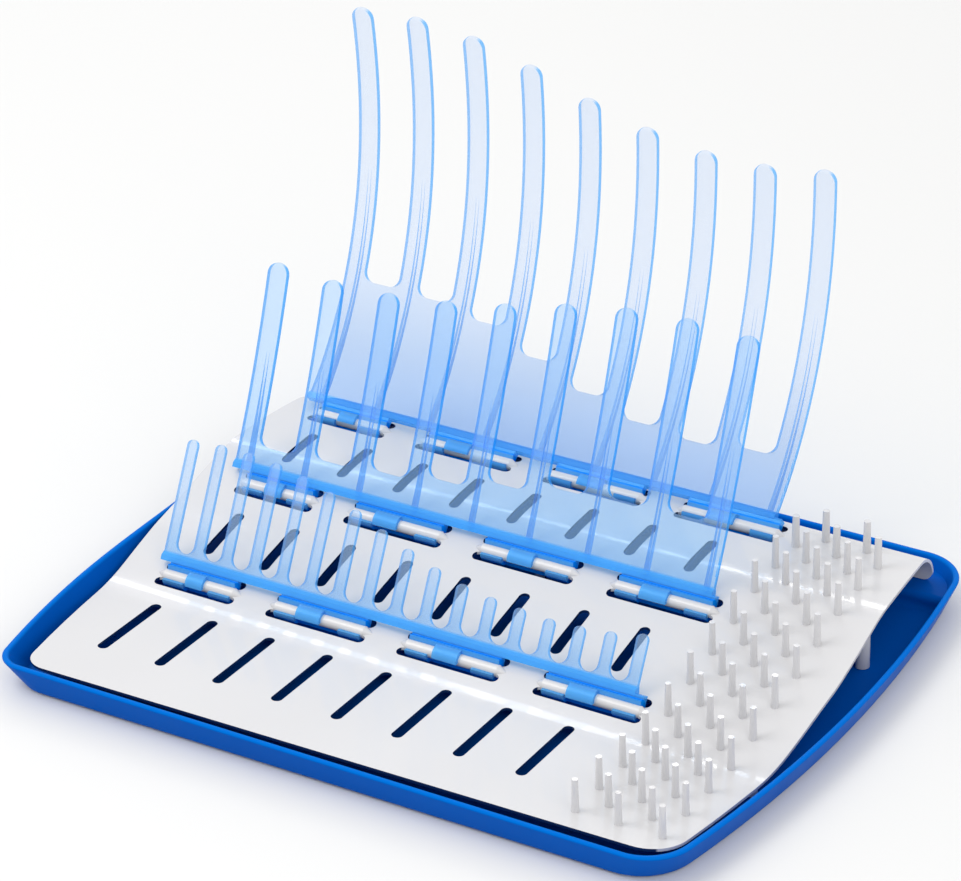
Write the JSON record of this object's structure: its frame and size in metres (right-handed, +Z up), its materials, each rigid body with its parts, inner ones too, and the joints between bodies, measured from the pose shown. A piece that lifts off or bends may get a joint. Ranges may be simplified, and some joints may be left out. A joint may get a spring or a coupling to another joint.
{
  "type": "bottle drying rack",
  "caption": "Baby bottle drying rack: a terraced slotted deck with fold-down combs and small-part pins, standing in a shallow drip tray.",
  "frame": {"origin": "centre of the drip tray's flat underside", "axes": "+X along the hinge lines to the right, +Y towards the rear comb, +Z up"},
  "size_m": [0.405, 0.3379, 0.241],
  "materials": {
    "tray": "gloss",
    "deck": "gloss",
    "comb": "gloss"
  },
  "bodies": {
    "tray": {"drip_tray": "tray"},
    "deck": {"rack_deck": "deck"},
    "front": {"front_comb": "comb"},
    "middle": {"middle_comb": "comb"},
    "rear": {"rear_comb": "comb"}
  },
  "joints": [
    {"name": "deck_lift", "type": "slide", "parent": "tray", "child": "deck", "axis": [0, 0, 1], "range_m": [0, 0.12]},
    {"name": "rear_comb_fold", "type": "hinge", "parent": "deck", "child": "rear", "pos_m": [0, 0.1105, 0.03027], "axis": [1, 0, 0], "range_deg": [0, 106]},
    {"name": "middle_comb_fold", "type": "hinge", "parent": "deck", "child": "middle", "pos_m": [0, 0.037, 0.02559], "axis": [1, 0, 0], "range_deg": [0, 116]},
    {"name": "front_comb_fold", "type": "hinge", "parent": "deck", "child": "front", "pos_m": [0, -0.0396, 0.01163], "axis": [1, 0, 0], "range_deg": [0, 116]}
  ],
  "couplings": [
    {"joint": "middle_comb_fold", "follows": "rear_comb_fold", "ratio": 1.094},
    {"joint": "front_comb_fold", "follows": "rear_comb_fold", "ratio": 1.094}
  ]
}
